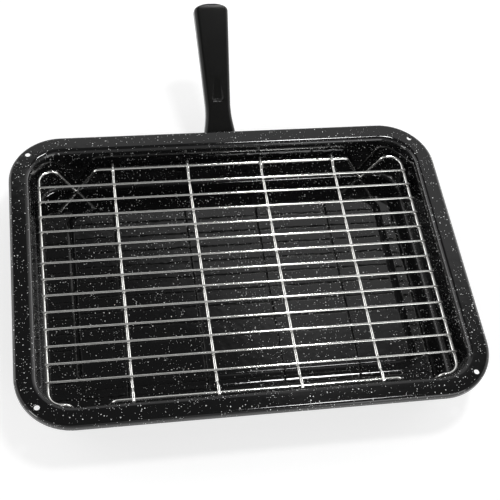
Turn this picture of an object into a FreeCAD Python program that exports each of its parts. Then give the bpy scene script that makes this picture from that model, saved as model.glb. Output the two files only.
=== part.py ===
"""Enamelled grill pan with a wire rack and a moulded handle.

Lengths are in millimetres. The origin is the centre of the face that the pan
rests on, +Z is up, +X runs along the long side of the pan and +Y points to
the handle.
"""
import FreeCAD, Part
import math
import os
from FreeCAD import Vector

# Pan: one pressed steel sheet, measured on its upper side
PAN_LENGTH = 380.0
PAN_WIDTH = 280.0
PAN_HEIGHT = 47.0
PAN_CORNER_RADIUS = 45.5
SHEET = 1.0
FLANGE_WIDTH = 17.5
LIP_DEPTH = 6.0
LIP_BEND = 3.0
SHOULDER_BEND = 4.5
WALL_DRAFT = 5.0
FLOOR_BEND = 4.5
FLOOR_MARGIN = 8.0

# Raised panel pressed into the floor
PANEL_LENGTH = 278.0
PANEL_WIDTH = 164.0
PANEL_CORNER_RADIUS = 14.0
PANEL_RISE = 3.0
PANEL_STEP_ANGLE = 45.0
PANEL_MARGIN = 3.0

# Round holes in the corners of the flange
HOLE_DIAMETER = 4.5
HOLE_INSET_X = 17.0
HOLE_INSET_Y = 18.5

# Rack wires and the closed frame, which fits on the flat of the floor, measured to wire axes
FRAME_WIRE = 3.0
CROSS_WIRE = 2.6
BAR_WIRE = 2.1
FRAME_END_SETBACK = 25.0
FOOT_CLEARANCE = 0.55
FRAME_CORNER_BEND = 11.0
RACK_HEIGHT = 30.0
WELD_GAP = 0.01

# V-shaped feet, bent down from the long sides of the frame
FOOT_FROM_CORNER = 32.5
FOOT_SPREAD = 35.0
FOOT_FLAT = 3.0
FOOT_TOP_BEND = 5.0

# Cross wires, cranked up at both ends over the long sides of the frame
CROSS_COUNT = 4
CROSS_FROM_END = 65.0
CROSS_OVERHANG = 3.5
CRANK_SETBACK = 4.5
CRANK_RUN = 5.0

# Thin bars across the top
BAR_COUNT = 13
BAR_FROM_SIDE = 19.0
BAR_OVERHANG = 2.6

# Moulded grip, measured along its flat top from its root
GRIP_TILT = 28.0
GRIP_LENGTH = 124.4
GRIP_ROOT_GAP = 2.0
GRIP_ROOT_DROP = 6.4
GRIP_ROOT_WIDTH = 28.8
GRIP_WAIST_WIDTH = 22.3
GRIP_WAIST_AT = 20.0
GRIP_WAIST_BEND = 88.0
GRIP_END_WIDTH = 31.4
GRIP_END_ROUNDING = 8.5
GRIP_END_POWER = 2.5
GRIP_END_SHARES = (0, 0.5, 0.8, 0.95, 0.99)
GRIP_ROOT_THICKNESS = 15.0
GRIP_MIDDLE_THICKNESS = 13.5
GRIP_END_THICKNESS = 16.0
GRIP_EDGE_ROUND = 4.2
GRIP_TIP_ROUND = 3.6

# Thumb recess in the top of the grip, deepest at its end near the pan
RECESS_AT = 30.0
RECESS_LENGTH = 22.0
RECESS_WIDTH = 12.5
RECESS_TIP_WIDTH = 7.5
RECESS_DEPTH = 1.8
RECESS_CORNER = 3.5

# Folded bracket, welded to the wall, with a tongue that is moulded into the grip
BRACKET_THICKNESS = 2.0
BRACKET_FOOT_WIDTH = 40.0
BRACKET_FOOT_BOTTOM = 8.0
BRACKET_BEND = 4.0
TONGUE_WIDTH = 14.0
TONGUE_NECK = 8.0
TONGUE_DEPTH = 62.0

# Straight chords that stand for each kind of bend, so that small bends take few facets
SHEET_CHORDS = 2
CORNER_CHORDS = 3
FOOT_CHORDS = 1
WAIST_CHORDS = 3

# Levels and angles worked out from the sizes above
FRAME_LEVEL = SHEET + RACK_HEIGHT
BAR_LEVEL = FRAME_LEVEL + (FRAME_WIRE + BAR_WIRE) / 2 + WELD_GAP
CROSS_LEVEL = BAR_LEVEL - (BAR_WIRE + CROSS_WIRE) / 2 - WELD_GAP
CROSS_END_LEVEL = FRAME_LEVEL + (FRAME_WIRE + CROSS_WIRE) / 2 + WELD_GAP
FOOT_DEPTH = RACK_HEIGHT - FRAME_WIRE / 2
DRAFT = math.radians(WALL_DRAFT)
TILT = math.radians(GRIP_TILT)
WALL_RUN = (PAN_HEIGHT - SHEET) * math.tan(DRAFT)
FLOOR_EDGE = FLANGE_WIDTH + WALL_RUN + FLOOR_BEND * math.tan((math.pi / 2 - DRAFT) / 2)
FRAME_LENGTH = PAN_LENGTH - 2 * FRAME_END_SETBACK
FRAME_DEPTH = PAN_WIDTH - 2 * (FLOOR_EDGE + FOOT_CLEARANCE)
CROSS_PITCH = (FRAME_LENGTH - 2 * CROSS_FROM_END) / (CROSS_COUNT - 1)
BAR_PITCH = (FRAME_DEPTH - 2 * BAR_FROM_SIDE) / (BAR_COUNT - 1)
GRIP_AXIS_DEPTH = GRIP_ROOT_THICKNESS / 2
X_AXIS = Vector(1, 0, 0)
Y_AXIS = Vector(0, 1, 0)
Z_AXIS = Vector(0, 0, 1)
ORIGIN = Vector(0, 0, 0)


def save(name, shape):
    """Write one node and print how it measures."""
    shape.exportStep("parts/" + name + ".step")
    box = shape.BoundBox
    corners = [box.XMin, box.XMax, box.YMin, box.YMax, box.ZMin, box.ZMax]
    print(name, "valid", shape.isValid(), "solids", len(shape.Solids), "volume", round(shape.Volume, 1),
          "box", [round(value, 2) for value in corners])


def bend(before, corner, after, radius):
    """Start, middle, end and centre of the arc that rounds one corner of a path."""
    back = (before - corner).normalize()
    ahead = (after - corner).normalize()
    half = back.getAngle(ahead) / 2
    reach = radius / math.tan(half)
    inward = (back + ahead).normalize()
    centre = corner + inward * (radius / math.sin(half))
    return corner + back * reach, centre - inward * radius, corner + ahead * reach, centre


def eased_path(points, bends):
    """Points of a path whose inner corners are eased, each given as a bend radius and a number of chords."""
    eased = [points[0]]
    for index, (radius, chords) in enumerate(bends, start=1):
        if radius == 0:
            eased.append(points[index])
            continue
        start, _, end, centre = bend(points[index - 1], points[index], points[index + 1], radius)
        axis = (start - centre).cross(end - centre)
        spread = math.degrees((start - centre).getAngle(end - centre))
        for chord in range(chords + 1):
            turn = FreeCAD.Rotation(axis, spread * chord / chords)
            eased.append(centre + turn.multVec(start - centre))
    return eased + [points[-1]]


def round_wire(points, diameter):
    """Round wire along a path of straight runs that meet in mitres."""
    disc = Part.Wire(Part.makeCircle(diameter / 2, points[0], points[1] - points[0]))
    return Part.makePolygon(points).makePipeShell([disc], True, False, 1)


def strip(points, bends, thickness):
    """Face of a bent strip, whose given path runs along one of its sides."""
    return Part.makePolygon(eased_path(points, bends)).makeOffset2D(thickness, 2, True, True)


def rounded_plate(length, width, radius, level, thickness):
    """Flat plate with rounded corners, centred on the Z axis."""
    plate = Part.makeBox(length, width, thickness, Vector(-length / 2, -width / 2, level))
    upright = [edge for edge in plate.Edges if edge.BoundBox.ZLength > thickness / 2]
    return plate.makeFillet(radius, upright)


def ring(section, length, width, radius):
    """Carry a section in the XZ plane round a rectangle with rounded corners."""
    straight_y = width - 2 * radius
    straight_x = length - 2 * radius
    side = section.copy()
    side.translate(Vector(0, -straight_y / 2, 0))
    long_run = side.extrude(Vector(0, straight_y, 0))
    far = section.copy()
    far.translate(Vector((width - length) / 2, 0, 0))
    far.rotate(ORIGIN, Z_AXIS, 90)
    far.translate(Vector(straight_x / 2, 0, 0))
    cross_run = far.extrude(Vector(-straight_x, 0, 0))
    turn = section.copy()
    turn.translate(Vector(0, straight_y / 2, 0))
    corner = turn.revolve(Vector(straight_x / 2, straight_y / 2, 0), Z_AXIS, 90)
    runs = [long_run, long_run.mirror(ORIGIN, X_AXIS), cross_run, cross_run.mirror(ORIGIN, Y_AXIS)]
    other = corner.mirror(ORIGIN, X_AXIS)
    corners = [corner, other, corner.mirror(ORIGIN, Y_AXIS), other.mirror(ORIGIN, Y_AXIS)]
    return runs, corners


def wall_reach(level):
    """How far the upper side of the wall lies inside the edge of the flange at one level."""
    return FLANGE_WIDTH + (PAN_HEIGHT - level) * math.tan(DRAFT)


def make_pan():
    """Pressed sheet: lip, flange, wall and floor bend, then the floor with its raised panel."""
    edge = PAN_LENGTH / 2
    foot = edge - wall_reach(SHEET)
    bends = [(radius, SHEET_CHORDS) for radius in (LIP_BEND, SHOULDER_BEND, FLOOR_BEND)]
    rim = strip([Vector(edge, 0, PAN_HEIGHT - LIP_DEPTH), Vector(edge, 0, PAN_HEIGHT),
                 Vector(edge - FLANGE_WIDTH, 0, PAN_HEIGHT), Vector(foot, 0, SHEET),
                 Vector(foot - FLOOR_MARGIN, 0, SHEET)], bends, SHEET)
    runs, corners = ring(rim, PAN_LENGTH, PAN_WIDTH, PAN_CORNER_RADIUS)
    inset = edge - foot + FLOOR_MARGIN
    floor = rounded_plate(PAN_LENGTH - 2 * inset, PAN_WIDTH - 2 * inset, PAN_CORNER_RADIUS - inset, 0, SHEET)
    step_run = PANEL_RISE / math.tan(math.radians(PANEL_STEP_ANGLE))
    low = PANEL_LENGTH / 2
    outer = low + PANEL_MARGIN
    inner = low - step_run - PANEL_MARGIN
    step = strip([Vector(outer, 0, SHEET), Vector(low, 0, SHEET), Vector(low - step_run, 0, SHEET + PANEL_RISE),
                  Vector(inner, 0, SHEET + PANEL_RISE)], [(0, 0), (0, 0)], SHEET)
    step_runs, step_corners = ring(step, PANEL_LENGTH, PANEL_WIDTH, PANEL_CORNER_RADIUS)
    opening = rounded_plate(PANEL_LENGTH + 2 * PANEL_MARGIN, PANEL_WIDTH + 2 * PANEL_MARGIN,
                            PANEL_CORNER_RADIUS + PANEL_MARGIN, 0, SHEET)
    shrink = 2 * (step_run + PANEL_MARGIN)
    panel = rounded_plate(PANEL_LENGTH - shrink, PANEL_WIDTH - shrink, PANEL_CORNER_RADIUS - shrink / 2,
                          PANEL_RISE, SHEET)
    pieces = runs + corners + [floor.cut(opening), panel] + step_runs + step_corners
    pan = pieces[0].multiFuse(pieces[1:]).removeSplitter()
    hole_x = PAN_LENGTH / 2 - HOLE_INSET_X
    hole_y = PAN_WIDTH / 2 - HOLE_INSET_Y
    for x, y in ((-hole_x, -hole_y), (hole_x, -hole_y), (-hole_x, hole_y), (hole_x, hole_y)):
        drill = Part.makeCylinder(HOLE_DIAMETER / 2, 4 * SHEET, Vector(x, y, PAN_HEIGHT - 3 * SHEET))
        pan = pan.cut(drill)
    return pan


def make_rack_frame():
    """Closed rectangle of thick wire, with two V feet in each long side."""
    half_x = FRAME_LENGTH / 2
    half_y = FRAME_DEPTH / 2
    foot_x = half_x - FOOT_FROM_CORNER
    corner = (FRAME_CORNER_BEND, CORNER_CHORDS)
    top = (FOOT_TOP_BEND, FOOT_CHORDS)
    sharp = (0, 0)
    side = [(half_x, 0, corner), (foot_x + FOOT_SPREAD / 2, 0, top), (foot_x + FOOT_FLAT / 2, FOOT_DEPTH, sharp),
            (foot_x - FOOT_FLAT / 2, FOOT_DEPTH, sharp), (foot_x - FOOT_SPREAD / 2, 0, top)]
    across = side + [(-x, depth, eased) for x, depth, eased in reversed(side)]
    far = [(Vector(x, half_y, FRAME_LEVEL - depth), eased) for x, depth, eased in across]
    near = [(Vector(-x, -half_y, FRAME_LEVEL - depth), eased) for x, depth, eased in across]
    start = Vector(half_x, 0, FRAME_LEVEL)
    points = [start] + [point for point, _ in far + near] + [start]
    return round_wire(eased_path(points, [eased for _, eased in far + near]), FRAME_WIRE)


def make_cross_wire(x):
    """Wire from front to back that rises over the long sides of the frame."""
    outer = FRAME_DEPTH / 2 + CROSS_OVERHANG
    high = FRAME_DEPTH / 2 - CRANK_SETBACK
    low = high - CRANK_RUN
    half = [Vector(x, -outer, CROSS_END_LEVEL), Vector(x, -high, CROSS_END_LEVEL), Vector(x, -low, CROSS_LEVEL)]
    return round_wire(half + [Vector(point.x, -point.y, point.z) for point in reversed(half)], CROSS_WIRE)


def make_bar(y):
    """Thin straight bar from side to side."""
    half = FRAME_LENGTH / 2 + BAR_OVERHANG
    return Part.makeCylinder(BAR_WIRE / 2, 2 * half, Vector(-half, y, BAR_LEVEL), X_AXIS)


def spread(count, pitch):
    """Evenly spaced places about zero."""
    return [(index - (count - 1) / 2) * pitch for index in range(count)]


def grip_place(shape):
    """Turn a shape from the grip's own frame, with its root at the origin, to its place on the pan."""
    placed = shape.copy()
    placed.rotate(ORIGIN, X_AXIS, GRIP_TILT)
    placed.translate(Vector(0, PAN_WIDTH / 2 + GRIP_ROOT_GAP, PAN_HEIGHT - GRIP_ROOT_DROP))
    return placed


def grip_point(along, height):
    """A point of the grip's middle plane, given along its top and out of its top."""
    y = PAN_WIDTH / 2 + GRIP_ROOT_GAP + along * math.cos(TILT) - height * math.sin(TILT)
    return Vector(0, y, PAN_HEIGHT - GRIP_ROOT_DROP + along * math.sin(TILT) + height * math.cos(TILT))


def grip_sides():
    """Points of the right side of the grip from above, from its root to where its end begins."""
    shoulder = GRIP_LENGTH - GRIP_END_ROUNDING
    corners = [Vector(GRIP_ROOT_WIDTH / 2, 0, 0), Vector(GRIP_WAIST_WIDTH / 2, GRIP_WAIST_AT, 0),
               Vector(GRIP_END_WIDTH / 2, shoulder, 0)]
    return eased_path(corners, [(GRIP_WAIST_BEND, WAIST_CHORDS)])


def grip_thickness(along):
    """Thickness of the grip, whose underside is a parabola along it."""
    share = along / GRIP_LENGTH
    sag = GRIP_MIDDLE_THICKNESS - (GRIP_ROOT_THICKNESS + GRIP_END_THICKNESS) / 2
    return GRIP_ROOT_THICKNESS + (GRIP_END_THICKNESS - GRIP_ROOT_THICKNESS) * share + 4 * sag * share * (1 - share)


def grip_section(along, width, inset, rounding):
    """Rounded rectangle across the grip, pulled in by one inset from above and below."""
    half = width / 2
    low = -grip_thickness(along) + inset
    corners = [Vector(-half, along, low), Vector(half, along, low), Vector(half, along, -inset),
               Vector(-half, along, -inset)]
    arcs = [bend(corners[index - 1], corners[index], corners[(index + 1) % 4], rounding) for index in range(4)]
    edges = []
    for index, (start, middle, end, _) in enumerate(arcs):
        edges.append(Part.Arc(start, middle, end).toShape())
        edges.append(Part.LineSegment(end, arcs[(index + 1) % 4][0]).toShape())
    return Part.Wire(edges)


def grip_blank():
    """Grip lofted through its cross-sections, with an end that closes as a squarish curve."""
    sides = grip_sides()
    sections = [grip_section(point.y, 2 * point.x, 0, GRIP_EDGE_ROUND) for point in sides[:-1]]
    middle = (sides[-2] + sides[-1]) / 2
    sections.append(grip_section(middle.y, 2 * middle.x, 0, GRIP_EDGE_ROUND))
    for share in GRIP_END_SHARES:
        along = GRIP_LENGTH - GRIP_END_ROUNDING * (1 - share)
        fall = 1 - (1 - share ** GRIP_END_POWER) ** (1 / GRIP_END_POWER)
        inset = GRIP_TIP_ROUND * fall
        sections.append(grip_section(along, GRIP_END_WIDTH * (1 - fall), inset, GRIP_EDGE_ROUND - inset))
    return Part.makeLoft(sections, True, True)


def recess_tool():
    """Tapered pocket whose sloped floor runs out at the top of the grip."""
    near = RECESS_WIDTH / 2
    tip = RECESS_TIP_WIDTH / 2
    slope = math.atan2(RECESS_DEPTH, RECESS_LENGTH)
    outline = eased_path([Vector(tip, RECESS_LENGTH, 0), Vector(near, 0, 0), Vector(-near, 0, 0),
                          Vector(-tip, RECESS_LENGTH, 0)], [(RECESS_CORNER, CORNER_CHORDS)] * 2)
    tool = Part.Face(Part.makePolygon(outline + outline[:1])).extrude(Vector(0, 0, 3 * RECESS_DEPTH))
    tool.rotate(ORIGIN, X_AXIS, math.degrees(slope))
    tool.translate(Vector(0, RECESS_AT, -RECESS_DEPTH))
    return tool


def make_grip():
    """Moulded grip with its thumb recess, moulded round the tongue of the bracket."""
    return grip_place(grip_blank().cut(recess_tool())).cut(make_bracket())


def make_bracket():
    """Wide foot on the wall, one bend, and a narrow tongue along the axis of the grip."""
    upper = -GRIP_AXIS_DEPTH + BRACKET_THICKNESS / 2
    tip = grip_point(TONGUE_DEPTH, upper)
    skin = SHEET / math.cos(DRAFT)
    slope = math.tan(DRAFT)
    start = grip_point(0, upper)
    rise = math.tan(TILT)
    wall_at_start = PAN_WIDTH / 2 - wall_reach(start.z) + skin
    corner_y = start.y - (start.y - wall_at_start) / (1 - slope * rise)
    corner = Vector(0, corner_y, start.z - (start.y - corner_y) * rise)
    foot = Vector(0, PAN_WIDTH / 2 - wall_reach(BRACKET_FOOT_BOTTOM) + skin, BRACKET_FOOT_BOTTOM)
    section = strip([foot, corner, tip], [(BRACKET_BEND + BRACKET_THICKNESS, SHEET_CHORDS)], BRACKET_THICKNESS)
    section.translate(Vector(-BRACKET_FOOT_WIDTH / 2, 0, 0))
    bracket = section.extrude(Vector(BRACKET_FOOT_WIDTH, 0, 0))
    spare = (BRACKET_FOOT_WIDTH - TONGUE_WIDTH) / 2
    for x in (-BRACKET_FOOT_WIDTH / 2, TONGUE_WIDTH / 2):
        relief = Part.makeBox(spare, 2 * PAN_WIDTH, 2 * PAN_WIDTH, Vector(x, corner.y + TONGUE_NECK, -PAN_WIDTH))
        bracket = bracket.cut(relief)
    return bracket


os.makedirs("parts", exist_ok=True)
save("pan", make_pan())
save("rack_frame", make_rack_frame())
for number, place in enumerate(spread(CROSS_COUNT, CROSS_PITCH), start=1):
    save("rack_cross_wire_" + str(number), make_cross_wire(place))
for number, place in enumerate(spread(BAR_COUNT, BAR_PITCH), start=1):
    save("rack_bar_" + str(number), make_bar(place))
save("handle_bracket", make_bracket())
save("handle_grip", make_grip())
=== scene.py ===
import bpy
import bmesh
import math
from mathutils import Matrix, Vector


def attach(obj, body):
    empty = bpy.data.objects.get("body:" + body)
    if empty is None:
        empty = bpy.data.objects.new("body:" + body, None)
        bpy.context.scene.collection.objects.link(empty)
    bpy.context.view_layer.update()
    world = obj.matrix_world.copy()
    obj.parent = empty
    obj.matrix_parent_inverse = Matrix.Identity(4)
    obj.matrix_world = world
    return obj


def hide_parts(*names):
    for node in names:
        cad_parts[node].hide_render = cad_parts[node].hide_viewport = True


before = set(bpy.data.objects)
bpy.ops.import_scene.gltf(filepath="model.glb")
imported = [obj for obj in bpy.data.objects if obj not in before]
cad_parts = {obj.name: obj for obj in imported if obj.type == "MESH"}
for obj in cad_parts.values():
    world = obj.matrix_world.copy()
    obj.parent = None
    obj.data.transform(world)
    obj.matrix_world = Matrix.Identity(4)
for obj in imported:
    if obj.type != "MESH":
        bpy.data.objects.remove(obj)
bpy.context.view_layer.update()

# The sizes of the pieces are in millimetres and become metres through MM
MM = 0.001

# Turn between two faces that makes a fold, that is made blunt, and up to which shading is smooth
FOLD = 1.2
BLUNT_ABOVE = math.radians(50.0)
SMOOTH_BELOW = math.radians(35.0)

# Steps of a fine edge, upright share of a level face's normal, and reach within which points merge
EDGE_STEPS = 3
LEVEL_SHARE = 0.999
MERGE = 0.01

# Pan, on its upper side
PAN_LENGTH = 380.0
PAN_WIDTH = 280.0
PAN_HEIGHT = 47.0
PAN_CORNER = 45.5
SHEET = 1.0
SHEET_EDGE = 0.3
FLANGE_WIDTH = 17.5
LIP_DEPTH = 6.0
LIP_BEND = 3.0
SHOULDER_BEND = 4.5
FLOOR_BEND = 4.5
WALL_DRAFT = math.radians(5.0)
CORNER_STEPS = 20
BEND_STEPS = 6

# Run of the drafted wall, and the half sides and corner of the floor that it leaves
WALL_DROP = PAN_HEIGHT - SHEET
WALL_RUN = WALL_DROP * math.tan(WALL_DRAFT)
FLOOR_X = PAN_LENGTH / 2 - FLANGE_WIDTH - WALL_RUN
FLOOR_Y = FLOOR_X - (PAN_LENGTH - PAN_WIDTH) / 2
FLOOR_CORNER = PAN_CORNER - FLANGE_WIDTH - WALL_RUN

# Raised panel in the floor: its size at the foot of its step, the step's rise and run, and its bends
PANEL_LENGTH = 284.0
PANEL_WIDTH = 178.0
PANEL_CORNER = 16.0
PANEL_RISE = 3.0
PANEL_SLOPE = 5.0
PANEL_BEND = 2.5
PANEL_BEND_STEPS = 4
PANEL_FOOT_BEND = 16.0
PANEL_FOOT_STEPS = 6
PANEL_TILT = math.atan2(PANEL_RISE, PANEL_SLOPE)

# A ring this far inside the floor's edge has the panel's corner, and the face within it is the largest
FLOOR_EASE = FLOOR_CORNER - PANEL_CORNER
PANEL_LEAST_AREA = 20000.0

# Heights and turn that tell the folds of the shoulder, the floor, the panel and its foot apart
SHOULDER_ABOVE = 40.0
FLOOR_BELOW = 10.0
PANEL_MIDDLE = SHEET + PANEL_RISE / 2
PANEL_FOLD = 0.8 * PANEL_TILT

# Round holes in the corners of the flange
HOLE_RADIUS = 2.25
HOLE_X = 173.0
HOLE_Y = 121.5
HOLE_SIDES = 32
HOLE_TOOL = 6.0

# Rack, to wire axes
FRAME_WIRE = 3.0
CROSS_WIRE = 2.6
BAR_WIRE = 2.1
FRAME_LENGTH = 330.0
FRAME_DEPTH = 227.6
FRAME_LEVEL = 31.0
FRAME_BEND = 11.0
BAR_LEVEL = 33.56
BAR_HALF = 166.5
CROSS_LEVEL = 31.2
CROSS_END_LEVEL = 33.81
CROSS_HALF = 117.3
CRANK_HIGH = 109.3
CRANK_LOW = 104.3
CRANK_BEND = 5.0
CROSS_PITCH = 200.0 / 3
CROSS_PLACES = [(number - 1.5) * CROSS_PITCH for number in range(4)]
BAR_PITCH = 15.8
BAR_PLACES = [(number - 6) * BAR_PITCH for number in range(13)]

# V feet of the rack, whose straight legs end a short run beside the middle of the round tip
FOOT_X = 132.5
FOOT_SPREAD = 35.0
FOOT_DROP = 28.5
FOOT_TIP_RUN = 1.5
FOOT_TIP_BEND = 2.6
FOOT_TOP_BEND = 6.0

# Wire: sides of its section, turn in one step of a bend, blunt ends and weld nuggets
WIRE_SIDES = 20
WIRE_TURN = 0.17
CROSS_BLUNT = 0.45
BAR_BLUNT = 0.4
WELD_RADIUS = 1.25
WELD_FLATNESS = 0.4

# Grip, measured along its flat top from its root: place and width of each station
GRIP_TILT = math.radians(28.0)
GRIP_LENGTH = 122.3
GRIP_ROOT = Vector((0, 142.0, 40.6)) * MM
GRIP_STATIONS = (
    (0, 28.8), (5.5, 27.0), (10.9, 25.26), (13.5, 24.5), (16, 23.92), (18.5, 23.47), (21, 23.17),
    (23, 23.03), (25.1, 22.98), (27, 23.02), (29.2, 23.17), (40, 24.2), (55, 25.62), (70, 27.04),
    (85, 28.46), (100, 29.88), (115.9, 31.4))
GRIP_NEAR = 0.01

# Thickness of the grip at its root and its end, the arch of its underside, and its rounded edges
GRIP_ROOT_DEPTH = 15.0
GRIP_END_DEPTH = 16.0
GRIP_ARCH = 2.0
GRIP_EDGE = 4.2
GRIP_EDGE_STEPS = 6
GRIP_ROOT_EDGE = 0.8

# Rounded end of the grip: how much its tip rolls over, and the shares of its run that are drawn
GRIP_TIP = 1.2
GRIP_END_POWER = 2.5
GRIP_END_SHARES = (0.3, 0.5, 0.65, 0.76, 0.85, 0.91, 0.955, 0.98, 0.993)

# Thumb recess: its walls from above the surface down to its floor, in steps inwards and downwards
RECESS_AT = 30.0
RECESS_LENGTH = 22.0
RECESS_WIDTH = 12.8
RECESS_NARROWING = 0.74
RECESS_DEPTH = 1.8
RECESS_RIM = 2.9
RECESS_CORNER = 5.4
RECESS_CORNER_STEPS = 8
RECESS_WALL = (
    (0.6, 4.08), (0.6, 0.10), (0.5, 0.14), (0.4, 0.20), (0.35, 0.26), (0.35, 0.32), (0.35, 0.35),
    (0.35, 0.31), (0.35, 0.18), (0.35, 0.06))

# Bracket, along its side that lies on the wall, up to its bend and on to its tongue, which tapers
BRACKET_FOOT = Vector((0, 120.09, 8.0))
BRACKET_CORNER = Vector((0, 121.34, 22.25))
BRACKET_TIP = Vector((0, 199.79, 63.97))
BRACKET_WIDTH = 40.0
BRACKET_THICKNESS = 2.0
BRACKET_EDGE = 0.4
BRACKET_BEND = 6.0
BRACKET_BEND_STEPS = 8
BRACKET_ROUND = 5.0
BRACKET_ROUND_STEPS = 6
TONGUE_RUN = 3.0
TONGUE_TAPER = 5.0
TONGUE_SHARE = 0.35

# Colours of the finishes, each between a darker and a lighter one
ENAMEL_BLACK = (0.0035, 0.0035, 0.0037, 1)
FLECK_WHITE = (0.86, 0.87, 0.86, 1)
CHROME_DARK = (0.88, 0.87, 0.84, 1)
CHROME_LIGHT = (0.95, 0.95, 0.93, 1)
PLASTIC_DARK = (0.0045, 0.0045, 0.0042, 1)
PLASTIC_LIGHT = (0.0065, 0.0065, 0.0062, 1)

# Flecks in the enamel, in two sizes: cells in a metre and the reach of a fleck in its cell. They are
# rare, crowd in clouds, and have ragged outlines
FLECK_LAYERS = ((430.0, 0.212), (760.0, 0.195))
FLECK_RARITY = 0.92
FLECK_CLOUD_SCALE = 38.0
FLECK_CROWDING = 0.9
FLECK_RAG_SCALE = 1500.0
FLECK_RAGGEDNESS = 0.0004

# Lamps of the studio, in metres and watts: name, place, width, height and power of each
LAMPS = (
    ("overhead", (0.61, 0.50, 2.4), 0.34, 0.42, 17.0),
    ("right", (2.0, 1.3, 0.6), 1.2, 0.7, 4.0),
    ("left", (-2.0, 1.3, 0.6), 1.2, 0.7, 4.0),
    ("low_left", (-2.1, -1.0, 0.68), 0.55, 0.55, 9.0),
    ("front", (0.90, -1.45, 0.62), 1.1, 0.9, 7.0))

# Brightness of the walls behind the pan, at its sides and in front of it and of the ceiling, and the
# directions, across and towards the back, between which one wall passes into the next
BACK_WALL = 0.66
SIDE_WALL = 1.25
FRONT_WALL = 0.50
CEILING = 0.11
SIDE_PASSAGE = (0.35, 0.6)
FRONT_PASSAGE = (-0.3, 0.3)

# The walls end at this height, as the sine of the elevation, under a ceiling that is highest at one
# place across and slopes down from there to both sides
RIDGE_TOP = 0.875
RIDGE_SOFTNESS = 0.035
RIDGE_ACROSS = 0.2
RIDGE_SLOPE = 0.40
RIDGE_FALL = 0.15

# Floor: its size, its shade, and the shade and glow that the camera and the reflections see
FLOOR_SIZE = 80
FLOOR_SHADE = 0.80
FLOOR_SEEN_SHADE = 0.50
FLOOR_GLOW = 0.66

# Camera where the photograph was taken from, fitted on the rim, the holes and the wires
CAMERA_PLACE = Vector((-141.652, -483.732, 786.363)) * MM
CAMERA_AIM = Vector((16.802, 39.414, 0)) * MM
CAMERA_ROLL = math.radians(10.5426)
CAMERA_LENS = 77.13
CAMERA_SENSOR = 36.0
CAMERA_NEAREST = 0.05


def add(primitive, name, **settings):
    """A new primitive, alone in the selection and open in edit mode, with its place in its mesh."""
    bpy.ops.object.select_all(action="DESELECT")
    primitive(**settings)
    bpy.context.object.name = name
    bpy.ops.object.transform_apply(location=True, rotation=True, scale=True)
    bpy.ops.object.mode_set(mode="EDIT")
    bpy.ops.mesh.select_all(action="SELECT")


def pick(kind, test):
    """Select only the vertices, edges or faces whose place or normal passes the test."""
    bpy.ops.mesh.select_mode(type=kind)
    bpy.ops.mesh.select_all(action="DESELECT")
    mesh = bmesh.from_edit_mesh(bpy.context.object.data)
    for part in {"VERT": mesh.verts, "EDGE": mesh.edges, "FACE": mesh.faces}[kind]:
        if test(part):
            part.select_set(True)
    mesh.select_flush_mode()
    bmesh.update_edit_mesh(bpy.context.object.data)


def pick_all_faces():
    """Select everything, with faces as what the next step acts on."""
    bpy.ops.mesh.select_mode(type="FACE")
    bpy.ops.mesh.select_all(action="SELECT")


def folded(edge, turn=FOLD):
    """True where the two faces at an edge turn by more than the given angle."""
    return edge.calc_face_angle(0) > turn


def level(edge):
    """Height of the middle of an edge in millimetres."""
    return (edge.verts[0].co.z + edge.verts[1].co.z) / 2 / MM


def move(x, y, z):
    """Shift what is selected."""
    bpy.ops.transform.translate(value=Vector((x, y, z)) * MM)


def pull(step):
    """Extrude the selected ring of edges by one straight step."""
    if step.length > 1e-7:
        bpy.ops.mesh.extrude_edges_move(TRANSFORM_OT_translate={"value": step})


def pull_face(along):
    """Extrude the selected end face along the grip."""
    bpy.ops.mesh.extrude_region_move(TRANSFORM_OT_translate={"value": (0, along * MM, 0)})


def inset(inwards, upwards):
    """Draw the selected faces in from their outline and lift them."""
    bpy.ops.mesh.inset(thickness=inwards * MM, depth=upwards * MM, use_even_offset=True)


def round_edges(width, steps, test):
    """Round the edges that pass the test."""
    pick("EDGE", test)
    bpy.ops.mesh.bevel(offset=width * MM, segments=steps, profile=0.5, affect="EDGES")


def round_corners(radius, steps):
    """Round the selected corners of a flat outline."""
    bpy.ops.mesh.bevel(offset=radius * MM, segments=steps, profile=0.5, affect="VERTICES")


def modifier(kind, **settings):
    """Add one modifier to the active object and apply it."""
    bpy.ops.object.modifier_add(type=kind)
    added = bpy.context.object.modifiers[-1]
    for key, value in settings.items():
        setattr(added, key, value)
    bpy.ops.object.modifier_apply(modifier=added.name)


def drill(name, solver):
    """Cut the active object by a named tool, and delete the tool."""
    tool = bpy.data.objects[name]
    modifier("BOOLEAN", operation="DIFFERENCE", solver=solver, object=tool)
    bpy.data.objects.remove(tool)


def shade_smooth():
    """Shade the active object smooth up to its sharp edges."""
    bpy.ops.object.shade_smooth_by_angle(angle=SMOOTH_BELOW)


def blunt_edges(width):
    """Take off the sharp edges of the active object."""
    modifier("BEVEL", limit_method="ANGLE", angle_limit=BLUNT_ABOVE, width=width * MM,
             segments=EDGE_STEPS)
    shade_smooth()


def close_shape():
    """Turn all faces outwards and leave edit mode with smooth shading."""
    bpy.ops.mesh.select_all(action="SELECT")
    bpy.ops.mesh.normals_make_consistent(inside=False)
    bpy.ops.object.mode_set(mode="OBJECT")
    shade_smooth()


def activate(piece):
    """Make one object the only one selected and the active one."""
    bpy.ops.object.select_all(action="DESELECT")
    piece.select_set(True)
    bpy.context.view_layer.objects.active = piece


def twin(piece, name, x, y):
    """A copy with its own mesh, moved along the floor."""
    activate(piece)
    bpy.ops.object.duplicate(linked=False)
    bpy.context.object.name = name
    move(x, y, 0)
    bpy.ops.object.transform_apply(location=True, rotation=True, scale=True)
    return bpy.context.object


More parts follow.
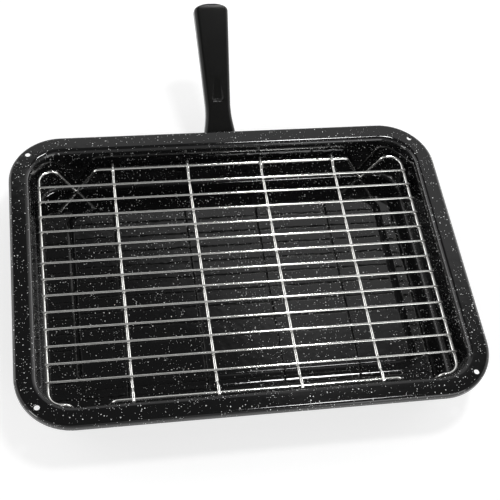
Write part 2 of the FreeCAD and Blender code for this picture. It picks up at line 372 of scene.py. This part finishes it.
def dress(piece, finish, slot, *nodes):
    """Give a finished piece its material and its body, and hide the CAD nodes that it stands for."""
    piece.data.materials.clear()
    piece.data.materials.append(finish)
    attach(piece, "root")
    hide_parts(*nodes)


def press_sheet():
    """One face that becomes flange with its round lip, wall and floor, with sharp folds between them."""
    add(bpy.ops.mesh.primitive_plane_add, "enamelled_pan", size=1, location=(0, 0, PAN_HEIGHT * MM))
    bpy.ops.transform.resize(value=(PAN_LENGTH * MM, PAN_WIDTH * MM, 1))
    round_corners(PAN_CORNER, CORNER_STEPS)
    pick("EDGE", lambda edge: True)
    bpy.ops.mesh.extrude_edges_move(TRANSFORM_OT_translate={"value": (0, 0, -LIP_DEPTH * MM)})
    round_edges(LIP_BEND, BEND_STEPS, folded)
    pick("FACE", lambda face: face.normal.z > LEVEL_SHARE)
    inset(FLANGE_WIDTH - LIP_BEND, 0)
    inset(WALL_RUN, -WALL_DROP)
    inset(FLOOR_EASE, 0)


def on_floor_ring(place, side_x, side_y):
    """True in one quarter of the ring that lies a little inside the edge of the floor."""
    x = place.x * side_x / MM
    y = place.y * side_y / MM
    out_x = max(0, x - FLOOR_X + FLOOR_CORNER)
    out_y = max(0, y - FLOOR_Y + FLOOR_CORNER)
    off_edge = math.hypot(out_x, out_y) < FLOOR_CORNER - FLOOR_EASE / 2
    return x > 0 and y > 0 and off_edge and place.z / MM < FLOOR_BELOW


def raise_panel():
    """Move the ring in the floor to the outline of the panel, and lift the panel from there."""
    shift_x = FLOOR_X - FLOOR_EASE - PANEL_LENGTH / 2
    shift_y = FLOOR_Y - FLOOR_EASE - PANEL_WIDTH / 2
    for side_x in (-1, 1):
        for side_y in (-1, 1):
            pick("VERT", lambda vert: on_floor_ring(vert.co, side_x, side_y))
            move(-side_x * shift_x, -side_y * shift_y, 0)
    least = PANEL_LEAST_AREA * MM ** 2
    pick("FACE", lambda face: face.normal.z > LEVEL_SHARE and face.calc_area() > least)
    inset(PANEL_SLOPE, PANEL_RISE)


def round_folds():
    """Round the folds between flange and wall, wall and floor, and on both sides of the panel's step."""
    wall_share = math.tan((math.pi / 2 - WALL_DRAFT) / 2)
    panel_share = math.tan(PANEL_TILT / 2)
    round_edges(SHOULDER_BEND * wall_share, BEND_STEPS,
                lambda edge: folded(edge) and level(edge) > SHOULDER_ABOVE)
    round_edges(FLOOR_BEND * wall_share, BEND_STEPS,
                lambda edge: folded(edge) and level(edge) < FLOOR_BELOW)
    round_edges(PANEL_BEND * panel_share, PANEL_BEND_STEPS,
                lambda edge: folded(edge, PANEL_FOLD) and PANEL_MIDDLE < level(edge) < FLOOR_BELOW)
    round_edges(PANEL_FOOT_BEND * panel_share, PANEL_FOOT_STEPS,
                lambda edge: folded(edge, PANEL_FOLD) and level(edge) < PANEL_MIDDLE)


def punch_holes(pan):
    """One round hole in each corner of the flange."""
    for y in (-HOLE_Y, HOLE_Y):
        for x in (-HOLE_X, HOLE_X):
            add(bpy.ops.mesh.primitive_cylinder_add, "hole_tool", vertices=HOLE_SIDES,
                radius=HOLE_RADIUS * MM, depth=HOLE_TOOL * MM, location=Vector((x, y, PAN_HEIGHT)) * MM)
            bpy.ops.object.mode_set(mode="OBJECT")
            activate(pan)
            drill("hole_tool", "EXACT")


def make_pan():
    """Pressed sheet with a raised panel in its floor, then its thickness, its holes and blunt edges."""
    press_sheet()
    raise_panel()
    round_folds()
    bpy.ops.object.mode_set(mode="OBJECT")
    pan = bpy.context.object
    modifier("SOLIDIFY", thickness=SHEET * MM, offset=-1, use_even_offset=True)
    punch_holes(pan)
    blunt_edges(SHEET_EDGE)
    modifier("WEIGHTED_NORMAL", keep_sharp=True)
    return pan


def draw_wire(name, points, bends, thickness):
    """Round wire: a circle that is pulled along the straight runs and spun round the bends."""
    points = [Vector(point) * MM for point in points]
    heading = points[1] - points[0]
    add(bpy.ops.mesh.primitive_circle_add, name, vertices=WIRE_SIDES, radius=thickness / 2 * MM,
        fill_type="NOTHING", location=points[0], rotation=heading.to_track_quat("Z", "Y").to_euler())
    here = points[0]
    for index, radius in enumerate(bends, start=1):
        radius = radius * MM
        back = (points[index - 1] - points[index]).normalized()
        ahead = (points[index + 1] - points[index]).normalized()
        half = back.angle(ahead) / 2
        reach = radius / math.tan(half)
        pull(points[index] + back * reach - here)
        turn = math.pi - 2 * half
        centre = points[index] + (back + ahead).normalized() * (radius / math.sin(half))
        bpy.ops.mesh.spin(steps=max(3, round(turn / WIRE_TURN)), angle=-turn, center=centre,
                          axis=ahead.cross(back))
        here = points[index] + ahead * reach
    pull(points[-1] - here)
    bpy.ops.mesh.select_all(action="SELECT")
    bpy.ops.mesh.remove_doubles(threshold=MERGE * MM)


def cap_wire(blunt):
    """Close both ends of a wire and take off their sharp edges."""
    bpy.ops.mesh.select_all(action="SELECT")
    bpy.ops.mesh.fill_holes(sides=0)
    round_edges(blunt, EDGE_STEPS, folded)


def weld(places):
    """Small flattened nuggets where the wire is spot welded to the wires under it."""
    for place in places:
        bpy.ops.mesh.primitive_uv_sphere_add(segments=12, ring_count=8, radius=WELD_RADIUS * MM,
                                             location=Vector(place) * MM)
        bpy.ops.transform.resize(value=(1, 1, WELD_FLATNESS))


def make_frame():
    """Closed rectangle of thick wire, with two V feet in each long side."""
    half_x = FRAME_LENGTH / 2
    half_y = FRAME_DEPTH / 2
    half_foot = FOOT_SPREAD / 2
    steepness = FOOT_DROP / (half_foot - FOOT_TIP_RUN)
    side = [(half_x, 0, FRAME_BEND),
            (FOOT_X + half_foot, 0, FOOT_TOP_BEND),
            (FOOT_X, FOOT_DROP + FOOT_TIP_RUN * steepness, FOOT_TIP_BEND),
            (FOOT_X - half_foot, 0, FOOT_TOP_BEND)]
    across = side + [(-x, drop, bend) for x, drop, bend in reversed(side)]
    points = [(half_x, 0, FRAME_LEVEL)]
    points += [(x, half_y, FRAME_LEVEL - drop) for x, drop, bend in across]
    points += [(-x, -half_y, FRAME_LEVEL - drop) for x, drop, bend in across]
    points.append(points[0])
    bends = [bend for x, drop, bend in across] * 2
    draw_wire("rack_wire_frame", points, bends, FRAME_WIRE)
    close_shape()
    return bpy.context.object


def make_cross_wire():
    """Wire from front to back that rises over the long sides of the frame."""
    half = [(0, -CROSS_HALF, CROSS_END_LEVEL),
            (0, -CRANK_HIGH, CROSS_END_LEVEL),
            (0, -CRANK_LOW, CROSS_LEVEL)]
    points = half + [(x, -y, z) for x, y, z in reversed(half)]
    draw_wire("cross_wire", points, [CRANK_BEND] * 4, CROSS_WIRE)
    cap_wire(CROSS_BLUNT)
    weld([(0, y, FRAME_LEVEL + FRAME_WIRE / 2) for y in (-FRAME_DEPTH / 2, FRAME_DEPTH / 2)])
    close_shape()
    return bpy.context.object


def make_bar():
    """Thin bar from side to side."""
    draw_wire("bar", [(-BAR_HALF, 0, BAR_LEVEL), (BAR_HALF, 0, BAR_LEVEL)], [], BAR_WIRE)
    cap_wire(BAR_BLUNT)
    crossings = CROSS_PLACES + [-FRAME_LENGTH / 2, FRAME_LENGTH / 2]
    weld([(x, 0, BAR_LEVEL - BAR_WIRE / 2) for x in crossings])
    close_shape()
    return bpy.context.object


def grip_depth(along):
    """Thickness of the grip, whose underside is a shallow arch."""
    share = along / GRIP_LENGTH
    straight = GRIP_ROOT_DEPTH + (GRIP_END_DEPTH - GRIP_ROOT_DEPTH) * share
    return straight - 4 * GRIP_ARCH * share * (1 - share)


def at_station(place, along):
    """True for a place at one distance along the grip."""
    return abs(place.y / MM - along) < GRIP_NEAR


def shape_station(along, wider, depth, deeper):
    """Widen and deepen the section at a new station, and leave its end face selected."""
    for side in (-1, 1):
        pick("VERT", lambda vert: at_station(vert.co, along) and vert.co.x * side > 0)
        move(side * wider / 2, 0, 0)
    pick("VERT", lambda vert: at_station(vert.co, along) and vert.co.z / MM < -depth / 2)
    move(0, 0, -deeper)
    pick("FACE", lambda face: all(at_station(vert.co, along) for vert in face.verts))


def end_fall(share):
    """How much of its width the rounded end has lost at one share of its run."""
    return 1 - (1 - share ** GRIP_END_POWER) ** (1 / GRIP_END_POWER)


def round_grip_end(run, depth):
    """Pull the end face on while it narrows to the round end and loses a little of its thickness."""
    scale_x, scale_z, before = 1, 1, 0
    centre = Vector((0, 0, -depth / 2)) * MM
    for share in GRIP_END_SHARES:
        pull_face((share - before) * run)
        next_x = 1 - end_fall(share)
        next_z = 1 - 2 * GRIP_TIP / depth * end_fall(share)
        bpy.ops.transform.resize(value=(next_x / scale_x, 1, next_z / scale_z), center_override=centre)
        scale_x, scale_z, before = next_x, next_z, share


def make_grip():
    """Grip drawn as a rounded section that is pulled from station to station, with a thumb recess."""
    start, width = GRIP_STATIONS[0]
    depth = grip_depth(start)
    add(bpy.ops.mesh.primitive_plane_add, "moulded_grip", size=1, rotation=(math.pi / 2, 0, 0))
    bpy.ops.transform.resize(value=(width * MM, 1, depth * MM))
    move(0, 0, -depth / 2)
    round_corners(GRIP_EDGE, GRIP_EDGE_STEPS)
    pick_all_faces()
    for along, wide in GRIP_STATIONS[1:]:
        pull_face(along - start)
        shape_station(along, wide - width, depth, grip_depth(along) - depth)
        start, width, depth = along, wide, grip_depth(along)
    round_grip_end(GRIP_LENGTH - start, depth)
    round_edges(GRIP_ROOT_EDGE, EDGE_STEPS,
                lambda edge: folded(edge) and all(at_station(vert.co, 0) for vert in edge.verts))
    close_shape()
    grip = bpy.context.object
    cut_recess(grip)
    grip.rotation_euler = (GRIP_TILT, 0, 0)
    grip.location = GRIP_ROOT
    bpy.ops.object.transform_apply(location=True, rotation=True, scale=True)
    shade_smooth()
    modifier("WEIGHTED_NORMAL", keep_sharp=True)
    return grip


def cut_recess(grip):
    """Thumb recess with soft walls, deepest near the pan, whose floor rises until it meets the top."""
    reach = sum(inwards for inwards, downwards in RECESS_WALL)
    tall = sum(downwards for inwards, downwards in RECESS_WALL)
    add(bpy.ops.mesh.primitive_plane_add, "recess_tool", size=1)
    wide = RECESS_WIDTH + 2 * (reach - RECESS_RIM)
    bpy.ops.transform.resize(value=(wide * MM, (RECESS_LENGTH + 2 * reach) * MM, 1))
    move(0, RECESS_LENGTH / 2, tall)
    pick("VERT", lambda vert: vert.co.y > RECESS_LENGTH / 2 * MM)
    bpy.ops.transform.resize(value=(RECESS_NARROWING, 1, 1))
    bpy.ops.mesh.select_all(action="SELECT")
    round_corners(RECESS_CORNER, RECESS_CORNER_STEPS)
    pick_all_faces()
    for inwards, downwards in RECESS_WALL:
        inset(inwards, -downwards)
    pick("EDGE", lambda edge: edge.is_boundary)
    bpy.ops.mesh.edge_face_add()
    close_shape()
    tool = bpy.context.object
    tool.rotation_euler = (math.atan2(RECESS_DEPTH, RECESS_LENGTH - RECESS_RIM), 0, 0)
    tool.location = Vector((0, RECESS_AT + RECESS_RIM, -RECESS_DEPTH)) * MM
    activate(grip)
    drill("recess_tool", "FAST")


def make_bracket():
    """Folded strip: a wide foot on the wall, one bend and a tongue that narrows into the grip."""
    back = (BRACKET_FOOT - BRACKET_CORNER).normalized()
    ahead = (BRACKET_TIP - BRACKET_CORNER).normalized()
    half = back.angle(ahead) / 2
    reach = BRACKET_BEND / math.tan(half)
    top = BRACKET_CORNER + back * reach
    middle = (BRACKET_FOOT + top) / 2
    height = (top - BRACKET_FOOT).length
    add(bpy.ops.mesh.primitive_plane_add, "folded_bracket", size=1, location=middle * MM,
        rotation=(math.pi / 2 - back.angle(Vector((0, 0, -1))), 0, 0))
    bpy.ops.transform.resize(value=(BRACKET_WIDTH * MM, 1, 1))
    bpy.ops.transform.resize(value=(1, height * MM, height * MM), center_override=middle * MM)
    pick("VERT", lambda vert: vert.co.z < middle.z * MM)
    round_corners(BRACKET_ROUND, BRACKET_ROUND_STEPS)
    pick("EDGE", lambda edge: min(vert.co.z for vert in edge.verts) > (top.z - 0.5) * MM)
    centre = BRACKET_CORNER + (back + ahead).normalized() * (BRACKET_BEND / math.sin(half))
    bpy.ops.mesh.spin(steps=BRACKET_BEND_STEPS, angle=2 * half - math.pi, center=centre * MM,
                      axis=ahead.cross(back))
    pull(ahead * TONGUE_RUN * MM)
    pull(ahead * TONGUE_TAPER * MM)
    bpy.ops.transform.resize(value=(TONGUE_SHARE, 1, 1))
    straight = (BRACKET_TIP - BRACKET_CORNER).length - reach
    pull(ahead * (straight - TONGUE_RUN - TONGUE_TAPER) * MM)
    bpy.ops.object.mode_set(mode="OBJECT")
    modifier("SOLIDIFY", thickness=BRACKET_THICKNESS * MM, offset=-1, use_even_offset=True)
    blunt_edges(BRACKET_EDGE)
    return bpy.context.object


class Signal:
    """The output of a shader node, which takes part in sums."""

    def __init__(self, network, socket):
        self.network = network
        self.socket = socket

    def sum(self, operation, first, second):
        terms = {0: first, 1: second}
        return self.network.node("ShaderNodeMath", {"operation": operation}, terms, "Value")

    def __add__(self, other):
        return self.sum("ADD", self, other)

    def __radd__(self, other):
        return self.sum("ADD", other, self)

    def __sub__(self, other):
        return self.sum("SUBTRACT", self, other)

    def __rsub__(self, other):
        return self.sum("SUBTRACT", other, self)

    def __mul__(self, other):
        return self.sum("MULTIPLY", self, other)

    def __rmul__(self, other):
        return self.sum("MULTIPLY", other, self)

    def __abs__(self):
        return self.sum("ABSOLUTE", self, 0.0)

    def within(self, low, high):
        """Rises from 0 to 1 as the signal goes from low to high."""
        return self.network.node("ShaderNodeMapRange", {"interpolation_type": "SMOOTHSTEP"},
                                 {"Value": self, "From Min": low, "From Max": high}, "Result")


class Network:
    """The nodes of one material or of the surroundings, which all come from the node method."""

    def __init__(self, tree, shader):
        self.tree = tree
        self.shader = tree.nodes[shader]

    def node(self, kind, settings, sockets, output):
        """A new node with its settings and the values or links of its sockets, as the signal it gives."""
        made = self.tree.nodes.new(kind)
        for key, value in settings.items():
            setattr(made, key, value)
        for key, value in sockets.items():
            self.feed(made.inputs[key], value)
        return Signal(self, made.outputs[output])

    def feed(self, socket, value):
        """Link a signal to a socket, or set a plain value on it."""
        if isinstance(value, Signal):
            self.tree.links.new(value.socket, socket)
        else:
            socket.default_value = value

    def set(self, **sockets):
        """Feed sockets of the shader, whose names are written with underscores for spaces."""
        for key, value in sockets.items():
            self.feed(self.shader.inputs[key.replace("_", " ")], value)

    def place(self, output="Object"):
        return self.node("ShaderNodeTexCoord", {}, {}, output)

    def noise(self, where, scale, detail=2.0, output="Fac"):
        return self.node("ShaderNodeTexNoise", {}, {"Vector": where, "Scale": scale, "Detail": detail},
                         output)

    def shift(self, where, amount, scale):
        """Coordinates that are pushed about at random by a small amount."""
        push = self.node("ShaderNodeVectorMath", {"operation": "SUBTRACT"},
                         {0: self.noise(where, scale, 1.0, "Color"), 1: (0.5, 0.5, 0.5)}, "Vector")
        small = self.node("ShaderNodeVectorMath", {"operation": "SCALE"}, {0: push, "Scale": amount},
                          "Vector")
        return self.node("ShaderNodeVectorMath", {"operation": "ADD"}, {0: where, 1: small}, "Vector")

    def part(self, whole, name):
        """One colour channel as a number."""
        return self.node("ShaderNodeSeparateColor", {}, {"Color": whole}, name)

    def blend(self, share, first, second):
        """Colour between two colours."""
        return self.node("ShaderNodeMix", {"data_type": "RGBA"}, {0: share, 6: first, 7: second}, 2)

    def bump(self, height, distance):
        """Small relief on the shader's normal."""
        relief = {"Height": height, "Distance": distance, "Strength": 1.0}
        self.set(Normal=self.node("ShaderNodeBump", {}, relief, "Normal"))


def grey(shade):
    """Neutral colour of one shade."""
    return (shade, shade, shade, 1)


def new_finish(name):
    """A new material, with the network that its shader takes its values from."""
    material = bpy.data.materials.new(name)
    material.use_nodes = True
    return material, Network(material.node_tree, "Principled BSDF")


def scatter_flecks(enamel, where):
    """Mask of ragged light flecks, crowded in some places and with some brighter than others."""
    crowd = enamel.noise(where, FLECK_CLOUD_SCALE)
    ragged = enamel.shift(where, FLECK_RAGGEDNESS, FLECK_RAG_SCALE)
    mask = 0.0
    for cells, size in FLECK_LAYERS:
        cell = {"Vector": ragged, "Scale": cells}
        near = enamel.node("ShaderNodeTexVoronoi", {"feature": "F1"}, cell, "Distance")
        tint = enamel.node("ShaderNodeTexVoronoi", {"feature": "F1"}, cell, "Color")
        chance = enamel.part(tint, "Red")
        shine = enamel.part(tint, "Green")
        reach = (chance + crowd * FLECK_CROWDING - FLECK_RARITY).within(0.0, 0.5) * size
        mask = (reach - near).within(0.0, 0.03) * (shine * 0.7 + 0.6) + mask
    return mask.within(0.0, 0.8)


def enamel_finish():
    """Glossy black enamel with scattered light flecks and a slow ripple."""
    material, enamel = new_finish("black_flecked_enamel")
    where = enamel.place()
    flecks = scatter_flecks(enamel, where)
    enamel.set(Base_Color=enamel.blend(flecks, ENAMEL_BLACK, FLECK_WHITE),
               Roughness=flecks * 0.25 + 0.045 + enamel.noise(where, 90.0) * 0.03, IOR=1.6)
    enamel.bump(enamel.noise(where, 130.0, 1.0) + flecks * 0.1, 0.00008)
    return material


def chrome_finish():
    """Bright chromium plate over drawn wire, a little uneven."""
    material, chrome = new_finish("bright_chrome_wire")
    where = chrome.place()
    cloud = chrome.noise(where, 70.0)
    chrome.set(Base_Color=chrome.blend(cloud, CHROME_DARK, CHROME_LIGHT), Metallic=1.0,
               Roughness=cloud * 0.08 + 0.12)
    chrome.bump(chrome.noise(where, 420.0), 0.000004)
    return material


def plastic_finish():
    """Matt black moulding with a fine even grain."""
    material, plastic = new_finish("matt_black_moulding")
    where = plastic.place()
    cloud = plastic.noise(where, 60.0)
    plastic.set(Base_Color=plastic.blend(cloud, PLASTIC_DARK, PLASTIC_LIGHT),
                Roughness=plastic.noise(where, 240.0) * 0.04 + 0.2, Specular_IOR_Level=0.3)
    plastic.bump(plastic.noise(where, 2100.0), 0.00001)
    return material


def lay_floor():
    """Plain pale floor that looks white to the camera and in reflections, and keeps its shadows."""
    bpy.ops.object.select_all(action="DESELECT")
    bpy.ops.mesh.primitive_plane_add(size=FLOOR_SIZE, location=(0, 0, 0))
    ground = bpy.context.object
    ground.name = "ground"
    material, paint = new_finish("pale_floor")
    seen = paint.node("ShaderNodeLightPath", {}, {}, "Is Camera Ray")
    seen = seen + paint.node("ShaderNodeLightPath", {}, {}, "Is Glossy Ray")
    paint.set(Base_Color=paint.blend(seen, grey(FLOOR_SHADE), grey(FLOOR_SEEN_SHADE)), Roughness=1.0,
              Emission_Color=paint.blend(seen, grey(0), grey(FLOOR_GLOW)), Emission_Strength=1.0,
              Specular_IOR_Level=0.0)
    ground.data.materials.append(material)


def build_room():
    """Surroundings: bright walls, brightest at the sides, under a dim ceiling with a sloping edge."""
    world = bpy.data.worlds.new("studio")
    world.use_nodes = True
    room = Network(world.node_tree, "Background")
    toward = room.place("Generated")
    across = room.node("ShaderNodeSeparateXYZ", {}, {0: toward}, "X")
    behind = room.node("ShaderNodeSeparateXYZ", {}, {0: toward}, "Y")
    height = room.node("ShaderNodeSeparateXYZ", {}, {0: toward}, "Z")
    slope = {0: abs(across - RIDGE_ACROSS) * RIDGE_SLOPE, 1: RIDGE_FALL}
    fall = room.node("ShaderNodeMath", {"operation": "MINIMUM"}, slope, "Value")
    walls = room.blend(abs(across).within(*SIDE_PASSAGE), grey(BACK_WALL), grey(SIDE_WALL))
    walls = room.blend(behind.within(*FRONT_PASSAGE), grey(FRONT_WALL), walls)
    ceiling = (height + fall).within(RIDGE_TOP - RIDGE_SOFTNESS, RIDGE_TOP + RIDGE_SOFTNESS)
    room.set(Color=room.blend(ceiling, walls, grey(CEILING)))
    bpy.context.scene.world = world


def hang_lamps():
    """One lamp overhead and four weak ones round the pan, all turned towards it."""
    for name, place, width, height, power in LAMPS:
        bpy.ops.object.light_add(type="AREA", location=place)
        lamp = bpy.context.object
        lamp.name = name
        lamp.data.shape = "RECTANGLE"
        lamp.data.size = width
        lamp.data.size_y = height
        lamp.data.energy = power
        lamp.rotation_euler = (-Vector(place)).to_track_quat("-Z", "Y").to_euler()


def place_camera():
    """Camera with the view of the photograph."""
    bpy.ops.object.camera_add(location=CAMERA_PLACE)
    camera = bpy.context.object
    camera.data.lens = CAMERA_LENS
    camera.data.sensor_width = CAMERA_SENSOR
    camera.data.clip_start = CAMERA_NEAREST
    camera.rotation_euler = (CAMERA_AIM - camera.location).to_track_quat("-Z", "Y").to_euler()
    camera.rotation_euler.rotate_axis("Z", CAMERA_ROLL)
    bpy.context.scene.camera = camera


enamel = enamel_finish()
chrome = chrome_finish()
plastic = plastic_finish()

dress(make_pan(), enamel, "enamel", "pan")
dress(make_frame(), chrome, "chrome_wire", "rack_frame")

first_cross = make_cross_wire()
for number, x in enumerate(CROSS_PLACES, start=1):
    wire = twin(first_cross, "cross_wire_" + str(number), x, 0)
    dress(wire, chrome, "chrome_wire", "rack_cross_wire_" + str(number))
bpy.data.objects.remove(first_cross)

first_bar = make_bar()
for number, y in enumerate(BAR_PLACES, start=1):
    bar = twin(first_bar, "bar_" + str(number), 0, y)
    dress(bar, chrome, "chrome_wire", "rack_bar_" + str(number))
bpy.data.objects.remove(first_bar)

dress(make_grip(), plastic, "grip_plastic", "handle_grip")
dress(make_bracket(), enamel, "enamel", "handle_bracket")

lay_floor()
build_room()
hang_lamps()
place_camera()
bpy.context.scene.view_settings.view_transform = "Standard"
